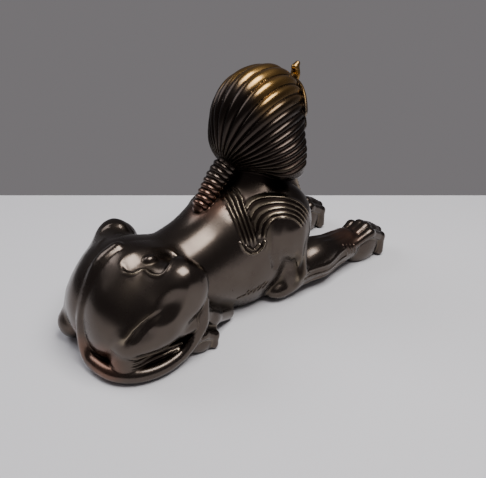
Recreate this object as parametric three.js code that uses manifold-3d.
// Reclining sphinx statuette: a lion's body lying down with a pharaoh's head, cast in one piece.
// Millimetres, +Z up, the underside on Z = 0. The figure lies along Y and faces -Y,
// so its own right side is at -X. Inside this file a place is given as
// at(ahead, right, up): the distance ahead of the rump end, the distance to the figure's
// own right of its middle, and the height.

import * as THREE from 'three';
import { mergeVertices } from 'three/addons/utils/BufferGeometryUtils.js';
import Module from 'manifold-3d';

// ---------- driving dimensions ----------

const LENGTH = 200;             // tail bend to front claws
const BRONZE = { color: 0x5b514b, roughness: 0.34, metalness: 0.9 };

// Head cloth
const CLOTH_PLEATS = 31;        // raised pleats from one lower edge over the crown to the other
const CLOTH_ROWS = 6;           // vertices along a pleat
const PLEAT_DEPTH = 1.0;
const PLEAT_SPREAD = 122;       // degrees from the crown to the lowest pleat
const PLEAT_CROWDING = 0.42;    // how much narrower the lowest pleats are than the crown ones

const BROW_AHEAD = 142;         // the cloth's front edge at the brow
const BROW_HEIGHT = 112;
const EDGE_LEAN = 0.26;         // how far it goes back for each millimetre down
const EDGE_SWEEP = 0.43;        // and for each millimetre out
const BAND_RADIUS = 1.8;

const LAPPET_WIDTH = 14;
const LAPPET_THICKNESS = 4.6;
const LAPPET_FOLDS = 5;
const LAPPET_RELIEF = 0.8;

// Plaited tail of the head cloth
const PLAIT_TURNS = 8;
const PLAIT_RADIUS = 5.6;
const PLAIT_TIP_RADIUS = 4.0;
const PLAIT_RELIEF = 0.55;

// Mane cords carved on the shoulders
const CORD_RELIEF = 0.8;
const CORD_HALF_WIDTH = 1.5;
const CORD_SINK = 1;            // how deep a cord's foot lies under the skin
const ARC_CORDS = 4;
const ARC_STATIONS = 6;
const ARC_CENTRE = [106, 46];   // ahead, up
const ARC_RADIUS = 18.5;
const ARC_PITCH = 2.5;
const BAND_CORDS = 3;
const BAND_PITCH = 2.4;

// Paws, as shares of a paw's width
const TOE_PLACES = [-1.5, -0.5, 0.5, 1.5];
const TOE_PITCH = 0.245;
const TOE_RADIUS = 0.15;
const TOE_SETBACK = 0.035;

// Heels: the tail lies behind the right one
const RIGHT_HEEL = 14;
const LEFT_HEEL = 10;

// Tail
const TAIL_ROOT_RADIUS = 4.9;
const TAIL_TIP_RADIUS = 2.6;

// ---------- places and small helpers ----------

function at(ahead, right, up) {
  return new THREE.Vector3(-right, LENGTH / 2 - ahead, up);
}

const REARWARD = new THREE.Vector3(0, 1, 0);
const FORWARD = new THREE.Vector3(0, -1, 0);
const UPWARD = new THREE.Vector3(0, 0, 1);

function degrees(angle) {
  return THREE.MathUtils.degToRad(angle);
}

function mix(a, b, t) {
  return a + (b - a) * t;
}

// ---------- flesh: rounded masses that melt into each other ----------

// A limb is a tapering round bar with ball ends.
function limb(from, to, fromRadius, toRadius) {
  const along = to.clone().sub(from);
  const lengthSq = along.lengthSq();
  return (point) => {
    const offset = point.clone().sub(from);
    const t = THREE.MathUtils.clamp(offset.dot(along) / lengthSq, 0, 1);
    return offset.addScaledVector(along, -t).length() - mix(fromRadius, toRadius, t);
  };
}

// A pad is an ellipsoid. Its radii are (along the body, across it, upright),
// nose-up by `pitch` and turned outward by `splay`, both in degrees.
function pad(centre, [long, wide, high], pitch = 0, splay = 0) {
  const turn = new THREE.Euler(-degrees(pitch), 0, degrees(splay), 'ZXY');
  const back = new THREE.Quaternion().setFromEuler(turn).invert();
  const radii = new THREE.Vector3(wide, long, high);
  return (point) => {
    const local = point.clone().sub(centre).applyQuaternion(back);
    const scaled = local.clone().divide(radii);
    const reach = scaled.length();
    return (reach * (reach - 1)) / Math.max(scaled.divide(radii).length(), 1e-9);
  };
}

// Melts shapes together over a fillet about `blend` wide.
function flesh(blend, shapes) {
  return (point) => shapes.reduce((nearest, shape) => {
    const here = shape(point);
    const overlap = Math.max(blend - Math.abs(nearest - here), 0);
    return Math.min(nearest, here) - (overlap * overlap) / (4 * blend);
  }, Infinity);
}

// The distance from `origin` along `direction` to the outside of a mass.
function surfaceAlong(mass, origin, direction, reach = 60) {
  const probe = new THREE.Vector3();
  const inside = (distance) => mass(probe.copy(origin).addScaledVector(direction, distance)) < 0;
  let outer = reach;
  while (outer > 1 && !inside(outer - 1)) {
    outer -= 1;
  }
  let inner = Math.max(outer - 1, 0);
  for (let step = 0; step < 16; step += 1) {
    const middle = (inner + outer) / 2;
    if (inside(middle)) {
      inner = middle;
    } else {
      outer = middle;
    }
  }
  return inner;
}

// ---------- skins: closed meshes ----------

// Closes a stack of rings, each with the same number of points, with a point at each end.
function closedSkin(start, rings, end) {
  const sides = rings[0].length;
  const points = [start, ...rings.flat(), end];
  const last = points.length - 1;
  const index = [];
  for (let side = 0; side < sides; side += 1) {
    const next = (side + 1) % sides;
    index.push(0, 1 + next, 1 + side);
    for (let row = 0; row < rings.length - 1; row += 1) {
      const low = 1 + row * sides;
      const high = low + sides;
      index.push(low + side, low + next, high + side);
      index.push(low + next, high + next, high + side);
    }
    const rim = 1 + (rings.length - 1) * sides;
    index.push(last, rim + side, rim + next);
  }
  const geometry = new THREE.BufferGeometry().setFromPoints(points);
  geometry.setIndex(index);
  return geometry;
}

// Two directions across a run, the second as near to `upward` as can be.
function across(run, upward) {
  const side = new THREE.Vector3().crossVectors(run, upward).normalize();
  return [side, new THREE.Vector3().crossVectors(side, run).normalize()];
}

// Skins a mass by sending rays out from a spine curve.
function skinMass(mass, spine, { rows, sides, caps = 2, upward = UPWARD }) {
  const ring = (t, lean) => {
    const origin = spine.getPointAt(t);
    const run = spine.getTangentAt(t);
    const [side, up] = across(run, upward);
    return Array.from({ length: sides }, (_, index) => {
      const angle = (index / sides) * 2 * Math.PI;
      const direction = side.clone().multiplyScalar(Math.cos(angle) * Math.cos(lean));
      direction.addScaledVector(up, Math.sin(angle) * Math.cos(lean));
      direction.addScaledVector(run, Math.sin(lean));
      return origin.clone().addScaledVector(direction, surfaceAlong(mass, origin, direction));
    });
  };
  const tip = (t, sign) => {
    const origin = spine.getPointAt(t);
    const direction = spine.getTangentAt(t).multiplyScalar(sign);
    return origin.clone().addScaledVector(direction, surfaceAlong(mass, origin, direction));
  };
  const rings = [];
  for (let cap = 1; cap <= caps; cap += 1) {
    rings.push(ring(0, -Math.PI / 2 * (1 - cap / (caps + 1))));
  }
  for (let row = 0; row <= rows; row += 1) {
    rings.push(ring(row / rows, 0));
  }
  for (let cap = caps; cap >= 1; cap -= 1) {
    rings.push(ring(1, Math.PI / 2 * (1 - cap / (caps + 1))));
  }
  return closedSkin(tip(0, -1), rings, tip(1, 1));
}

// Skins a round bar along a curve; radiusAt(t) gives its radius.
function skinBar(curve, radiusAt, rows, sides) {
  const frames = curve.computeFrenetFrames(rows);
  const rings = Array.from({ length: rows + 1 }, (_, row) => {
    const centre = curve.getPointAt(row / rows);
    const radius = radiusAt(row / rows);
    return Array.from({ length: sides }, (__, index) => {
      const angle = (index / sides) * 2 * Math.PI;
      return centre.clone()
        .addScaledVector(frames.normals[row], radius * Math.cos(angle))
        .addScaledVector(frames.binormals[row], radius * Math.sin(angle));
    });
  });
  const start = curve.getPointAt(0).addScaledVector(frames.tangents[0], -0.6 * radiusAt(0));
  const end = curve.getPointAt(1).addScaledVector(frames.tangents[rows], 0.6 * radiusAt(1));
  return closedSkin(start, rings, end);
}

// Skins a bar of any section along a curve. sectionAt(row) lists [over, above] places,
// `above` being towards `upward`, and both ends close in a point `nose` further out.
function skinSection(curve, rows, upward, nose, sectionAt) {
  const rings = Array.from({ length: rows + 1 }, (_, row) => {
    const centre = curve.getPoint(row / rows);
    const [side, out] = across(curve.getTangent(row / rows), upward);
    return sectionAt(row).map(([over, above]) => centre.clone()
      .addScaledVector(side, over)
      .addScaledVector(out, above));
  });
  const start = curve.getPoint(0).addScaledVector(curve.getTangent(0), -nose);
  const end = curve.getPoint(1).addScaledVector(curve.getTangent(1), nose);
  return closedSkin(start, rings, end);
}

// The corners of a regular section.
function roundSection(radius, sides) {
  return Array.from({ length: sides }, (_, corner) => {
    const angle = (corner / sides + 0.25) * 2 * Math.PI;
    return [radius * Math.cos(angle), radius * Math.sin(angle)];
  });
}

function line(...points) {
  return new THREE.CatmullRomCurve3(points, false, 'centripetal');
}

// ---------- joining ----------

const wasm = await Module();
wasm.setup();

// A solid from a closed geometry, turned right side out if it was made inside out.
function solid(geometry) {
  const bare = geometry.clone();
  bare.deleteAttribute('normal');
  bare.deleteAttribute('uv');
  const merged = mergeVertices(bare, 1e-4);
  const positions = merged.getAttribute('position');
  const index = Uint32Array.from(merged.getIndex().array);
  const corner = [new THREE.Vector3(), new THREE.Vector3(), new THREE.Vector3()];
  let volume = 0;
  for (let i = 0; i < index.length; i += 3) {
    corner.forEach((vertex, k) => vertex.fromBufferAttribute(positions, index[i + k]));
    volume += corner[0].dot(corner[1].clone().cross(corner[2])) / 6;
  }
  if (volume < 0) {
    for (let i = 0; i < index.length; i += 3) {
      [index[i + 1], index[i + 2]] = [index[i + 2], index[i + 1]];
    }
  }
  const vertProperties = Float32Array.from(positions.array);
  return new wasm.Manifold(new wasm.Mesh({ numProp: 3, vertProperties, triVerts: index }));
}

function mirrored(geometry) {
  return geometry.clone().applyMatrix4(new THREE.Matrix4().makeScale(-1, 1, 1));
}

function bothSides(geometries) {
  return geometries.flatMap((geometry) => [geometry, mirrored(geometry)]);
}

function joined(geometries) {
  return geometries.map(solid).reduce((sum, piece) => sum.add(piece));
}

function toGeometry(manifold) {
  const mesh = manifold.getMesh();
  const geometry = new THREE.BufferGeometry();
  geometry.setAttribute('position', new THREE.BufferAttribute(Float32Array.from(mesh.vertProperties), 3));
  geometry.setIndex(new THREE.BufferAttribute(Uint32Array.from(mesh.triVerts), 1));
  return geometry;
}

// ---------- the body ----------

const trunkMass = flesh(12, [
  pad(at(30, 0, 27), [24, 22, 29]),
  pad(at(60, 0, 26), [30, 24, 25.5]),
  pad(at(100, 0, 29), [40, 29, 37]),
  pad(at(33, 12, 41), [13, 9, 9.5]),
  pad(at(33, -12, 41), [13, 9, 9.5]),
  pad(at(116, 18, 47), [18, 12, 18]),
  pad(at(116, -18, 47), [18, 12, 18]),
  limb(at(112, 0, 54), at(118, 0, 88), 17, 14),
]);

const trunk = skinMass(trunkMass, line(at(24, 0, 26), at(70, 0, 27), at(118, 0, 32)), {
  rows: 12, sides: 18, caps: 2,
});

const neckAxis = [at(112, 0, 54), at(118, 0, 88)];
const neck = skinMass(limb(...neckAxis, 16, 14), line(...neckAxis), { rows: 2, sides: 12, caps: 1, upward: REARWARD });

// ---------- haunches ----------

const thighMass = flesh(8, [
  pad(at(30, 24, 31), [23, 12, 15], 36, 5),
  limb(at(31, 26, 33), at(44, 28.5, 43.5), 10.5, 9),
  limb(at(41, 28, 43.5), at(46.5, 29.5, 41), 9, 7.5),
  limb(at(26, 26, 25), at(43, 29.5, 33), 9.5, 8),
]);
const thigh = skinMass(thighMass, line(at(16, 23, 24), at(30, 26, 34), at(43, 28, 40)), {
  rows: 6, sides: 12, caps: 2,
});

// Hock and long foot bone on the ground, from the heel to the hind paw.
function hock(heel) {
  const mass = flesh(5, [
    limb(at(17, 24, 24), at(heel, 22, 10), 9, 7),
    limb(at(heel, 22, 8), at(46, 27.5, 7), 7.5, 6.5),
  ]);
  return skinMass(mass, line(at(heel + 4, 22.5, 9), at(44, 27, 7)), { rows: 4, sides: 10, caps: 1 });
}
const hipKnob = skinMass(pad(at(35, 15.5, 50), [4.6, 2.8, 3]), line(at(33, 15.5, 50), at(37, 15.5, 50)),
  { rows: 1, sides: 6, caps: 1 });

// ---------- forelegs ----------

const armMass = flesh(8, [
  pad(at(116, 22, 46), [15, 10, 18]),
  limb(at(116, 24.5, 44), at(120, 25.5, 11), 10, 9.5),
]);
const arm = skinMass(armMass, line(at(116, 24, 52), at(117, 25, 28), at(120, 25.5, 9)), {
  rows: 5, sides: 11, caps: 1, upward: REARWARD,
});
const forearm = skinMass(flesh(6, [
  limb(at(122, 23.5, 12.5), at(142, 22.8, 13.2), 11.5, 12.4),
  limb(at(142, 22.8, 13.2), at(170, 23.6, 12.5), 12.4, 11.6),
]), line(at(122, 23, 11), at(168, 23.6, 11)), { rows: 4, sides: 11, caps: 1 });

// ---------- mane cords on the shoulders ----------

const RIGHTWARD = new THREE.Vector3(-1, 0, 0);
const CORD_FACING = new THREE.Vector3(-0.85, 0, 0.5);
const shoulderSide = flesh(1, [trunkMass, armMass]);

// Lays a ridged cord on the shoulder along a run of [ahead, up] places seen from the side.
function sideCord(places) {
  const points = places.map(([ahead, up]) => {
    const middle = at(ahead, 0, up);
    return middle.addScaledVector(RIGHTWARD, surfaceAlong(shoulderSide, middle, RIGHTWARD));
  });
  const section = [[0, CORD_RELIEF], [CORD_HALF_WIDTH, -CORD_SINK], [-CORD_HALF_WIDTH, -CORD_SINK]];
  return skinSection(line(...points), places.length - 1, CORD_FACING, 0, () => section);
}

// Arcs ring the shoulder, one inside the other.
const arcCords = Array.from({ length: ARC_CORDS }, (_, ring) => {
  const radius = ARC_RADIUS - ring * ARC_PITCH;
  return sideCord(Array.from({ length: ARC_STATIONS }, (__, step) => {
    const angle = degrees(mix(172, 24, step / (ARC_STATIONS - 1)));
    return [ARC_CENTRE[0] + radius * Math.cos(angle), ARC_CENTRE[1] + radius * Math.sin(angle)];
  }));
});

// Straight cords hang behind them from the nape; the rearmost turns under the tuft.
const bandCords = Array.from({ length: BAND_CORDS }, (_, cord) => {
  const ahead = cord * BAND_PITCH;
  const places = [[88 + ahead * 0.9, 63.5], [85.4 + ahead, 59], [84 + ahead, 53], [83.6 + ahead, 47]];
  const turn = [[85, 42], [88, 39.2], [92, 38.8], [95, 42]];
  return sideCord(cord === 0 ? [...places, ...turn] : places);
});

// ---------- paws ----------

const UPWARD_AND_BACK = new THREE.Vector3(0, -0.7, 1);

// A paw points ahead from its wrist: a broad pad with four bent toes side by side.
function paw(wrist, { length, width, height, toeSides }) {
  const place = (ahead, right, up) => at(wrist[0] + ahead * length, wrist[1] + right * width, up * height);
  const palm = skinMass(pad(place(0.5, 0, 0.38), [length * 0.485, width * 0.49, height * 0.64]),
    line(place(0.35, 0, 0.3), place(0.65, 0, 0.3)), { rows: 1, sides: 9, caps: 1 });
  const toes = TOE_PLACES.map((toe) => {
    const off = toe * TOE_PITCH;
    const shrink = 1 - TOE_SETBACK * toe * toe;
    const radius = width * TOE_RADIUS;
    const knuckle = place(0.6 * shrink, off, 0.86 * shrink);
    const brow = place(0.93 * shrink, off, 0.56 * shrink);
    const tip = place(shrink - radius / length, off, (1.05 * radius) / height);
    const root = place(0.12, off * 0.8, 0.62);
    const section = roundSection(radius, toeSides);
    return skinSection(line(root, knuckle, brow, tip), 3, UPWARD_AND_BACK, radius * 0.7, () => section);
  });
  return [palm, ...toes];
}

const frontPaw = paw([160, 24.8], { length: 40, width: 19.5, height: 25, toeSides: 5 });
const hindPaw = paw([37, 28], { length: 23.5, width: 15.5, height: 14.5, toeSides: 4 });

// ---------- tail ----------

const tailCurve = line(
  at(27, 0, 53), at(19, 0, 49.5), at(10.5, -1.5, 38), at(5.4, -3, 24), at(4.8, -3, 12), at(5, 2, 5.6),
  at(5.6, 11, 4.4), at(8, 21, 4.2), at(15, 28.5, 4.2), at(26, 32.5, 4.2), at(37, 34, 5),
  at(44, 34.8, 10), at(47.5, 35.4, 19), at(49, 35.4, 28), at(50, 35, 33),
);
const tail = skinBar(tailCurve, (t) => mix(TAIL_ROOT_RADIUS, TAIL_TIP_RADIUS, t * t), 24, 6);

// ---------- head cloth ----------

const GATHER = at(92, 0, 77);         // where the pleats are tied at the nape
const SKULL = at(116, 0, 92);         // middle of the head cloth
const clothMass = flesh(9, [
  pad(at(117, 0, 97), [26.3, 23.5, 28.2]),
  pad(at(110, 0, 87), [16, 21, 12.5]),
  pad(at(119, 15, 84), [14, 13.5, 13], 16),
  pad(at(119, -15, 84), [14, 13.5, 13], 16),
]);

// The cloth's front edge leans back below the brow and sweeps back towards the wings.
function frontEdge(point) {
  const edge = BROW_AHEAD - EDGE_LEAN * (BROW_HEIGHT - point.z) - EDGE_SWEEP * Math.abs(point.x);
  return LENGTH / 2 - point.y - edge;
}

// The turn round the nape-to-face axis of each pleat border, from the crown down one side.
function pleatAngle(place) {
  const t = place / (CLOTH_PLEATS / 2);
  const share = Math.abs(t) * (1 + PLEAT_CROWDING - PLEAT_CROWDING * Math.abs(t));
  return degrees(PLEAT_SPREAD) * Math.sign(t) * share;
}

const pole = GATHER.clone().sub(SKULL).normalize();
const [clothSide, clothUp] = across(pole, UPWARD);

// A point of the cloth: `turn` round the axis from the crown, `swing` forward from the nape.
function clothPoint({ turn, sink }, swing) {
  const outward = clothUp.clone().multiplyScalar(Math.cos(turn)).addScaledVector(clothSide, Math.sin(turn));
  const ray = pole.clone().multiplyScalar(Math.cos(swing)).addScaledVector(outward, Math.sin(swing));
  const depth = sink * Math.min(1, Math.sin(swing) * 1.6);
  return SKULL.clone().addScaledVector(ray, surfaceAlong(clothMass, SKULL, ray) - depth);
}

// How far forward a pleat runs before it meets the front edge.
function edgeSwing(column) {
  let low = degrees(30);
  let high = degrees(176);
  for (let step = 0; step < 18; step += 1) {
    const middle = (low + high) / 2;
    if (frontEdge(clothPoint(column, middle)) < 0) {
      low = middle;
    } else {
      high = middle;
    }
  }
  return low;
}

const pleatColumns = [];
for (let pleat = 0; pleat < CLOTH_PLEATS; pleat += 1) {
  const start = pleat - CLOTH_PLEATS / 2;
  pleatColumns.push({ turn: pleatAngle(start), sink: PLEAT_DEPTH });
  pleatColumns.push({ turn: pleatAngle(start + 0.5), sink: 0 });
}
pleatColumns.push({ turn: pleatAngle(CLOTH_PLEATS / 2), sink: PLEAT_DEPTH });
const undersideGap = 2 * Math.PI - 2 * degrees(PLEAT_SPREAD);
const undersideColumns = [1, 2, 3, 4, 5].map((step) => (
  { turn: degrees(PLEAT_SPREAD) + (undersideGap * step) / 6, sink: PLEAT_DEPTH }
));

const clothColumns = [...pleatColumns, ...undersideColumns];
const edgeSwings = clothColumns.map(edgeSwing);
const clothRings = Array.from({ length: CLOTH_ROWS + 1 }, (_, row) => clothColumns.map((column, index) => (
  clothPoint(column, mix(degrees(14), edgeSwings[index], row / CLOTH_ROWS))
)));
const clothFront = at(BROW_AHEAD - EDGE_LEAN * (BROW_HEIGHT - SKULL.z), 0, SKULL.z);
const headCloth = closedSkin(GATHER, clothRings, clothFront);

// A flat band binds the cloth across the brow from ear to ear.
const bandColumns = pleatColumns.filter(({ turn, sink }) => sink === 0 && Math.abs(turn) < degrees(66));
const bandPoints = bandColumns.map((column) => clothPoint(column, edgeSwing(column)));
const browBand = skinBar(line(...bandPoints), () => BAND_RADIUS, 8, 5);

const plaitCurve = line(at(95, 0, 78.5), at(90.5, 0, 73.5), at(84, 0, 66.5), at(77.8, 0, 60));
const plait = skinBar(plaitCurve, (t) => {
  const turn = 0.5 - 0.5 * Math.cos(2 * Math.PI * PLAIT_TURNS * t);
  return mix(PLAIT_RADIUS, PLAIT_TIP_RADIUS, t) + PLAIT_RELIEF * (2 * turn - 1);
}, PLAIT_TURNS * 2, 7);

// ---------- face ----------

const UPRIGHT = { upward: REARWARD };
const face = skinMass(flesh(6, [
  pad(at(125, 0, 98), [17, 14.5, 18]),
  pad(at(128, 0, 86), [12.5, 10.5, 9]),
]), line(at(123, 0, 86), at(123, 0, 104)), { rows: 4, sides: 14, ...UPRIGHT });
const nose = skinMass(limb(at(140.6, 0, 102), at(143.4, 0, 95), 1.5, 2.4), line(at(140.6, 0, 102), at(143.4, 0, 95)),
  { rows: 2, sides: 6, caps: 1, ...UPRIGHT });
const eye = skinMass(pad(at(140.4, 5.6, 100.5), [1.6, 3, 1.3]), line(at(140.4, 4.6, 100.5), at(140.4, 6.6, 100.5)),
  { rows: 1, sides: 6, caps: 1 });
const lips = skinMass(pad(at(141.2, 0, 89.5), [1.9, 4.2, 1.5]), line(at(141.2, -2, 89.5), at(141.2, 2, 89.5)),
  { rows: 1, sides: 6, caps: 1 });
const chin = skinMass(pad(at(137.5, 0, 83), [4, 4.4, 3.4]), line(at(137.5, -1, 83), at(137.5, 1, 83)),
  { rows: 1, sides: 8, caps: 1 });
const ear = skinMass(pad(at(130, 16.5, 98.5), [3.4, 2.6, 6.4]), line(at(130, 16.5, 96), at(130, 16.5, 101)),
  { rows: 1, sides: 6, caps: 1, ...UPRIGHT });
const lappetCurve = line(at(123, 15.5, 79), at(129, 16, 66), at(134, 15.5, 54), at(137.5, 14, 43));
const lappet = skinSection(lappetCurve, 2 * LAPPET_FOLDS, FORWARD, 0, (row) => {
  const half = LAPPET_WIDTH / 2;
  const proud = LAPPET_THICKNESS / 2 + (row % 2) * LAPPET_RELIEF;
  return [[-half, 0], [-half * 0.8, proud], [half * 0.8, proud], [half, 0], [0, -LAPPET_THICKNESS]];
});
const cobra = skinMass(flesh(2, [
  limb(at(141, 0, 110), at(143.5, 0, 117), 3, 3.4),
  limb(at(143.5, 0, 117), at(142.5, 0, 122.5), 3.2, 2.2),
]), line(at(141, 0, 110), at(143.5, 0, 117), at(142.5, 0, 122.5)), { rows: 4, sides: 6, caps: 1, ...UPRIGHT });

// ---------- assembly ----------

const parts = [
  trunk, neck, tail, headCloth, browBand, plait, face, nose, lips, chin, cobra,
  hock(RIGHT_HEEL), mirrored(hock(LEFT_HEEL)),
  ...bothSides([thigh, hipKnob, arm, forearm, ...arcCords, ...bandCords, eye, ear, lappet, ...frontPaw, ...hindPaw]),
];
const belowGround = new THREE.BoxGeometry(4 * LENGTH, 4 * LENGTH, LENGTH).translate(0, 0, -LENGTH / 2);
const figure = joined(parts).subtract(solid(belowGround));

const geometry = toGeometry(figure);
geometry.computeBoundingBox();
const middle = geometry.boundingBox.getCenter(new THREE.Vector3());
geometry.translate(-middle.x, -middle.y, 0);

const sphinx = new THREE.Mesh(geometry, new THREE.MeshStandardMaterial(BRONZE));
sphinx.name = 'sphinx_figure';

const group = new THREE.Group();
group.add(sphinx);

export default group;
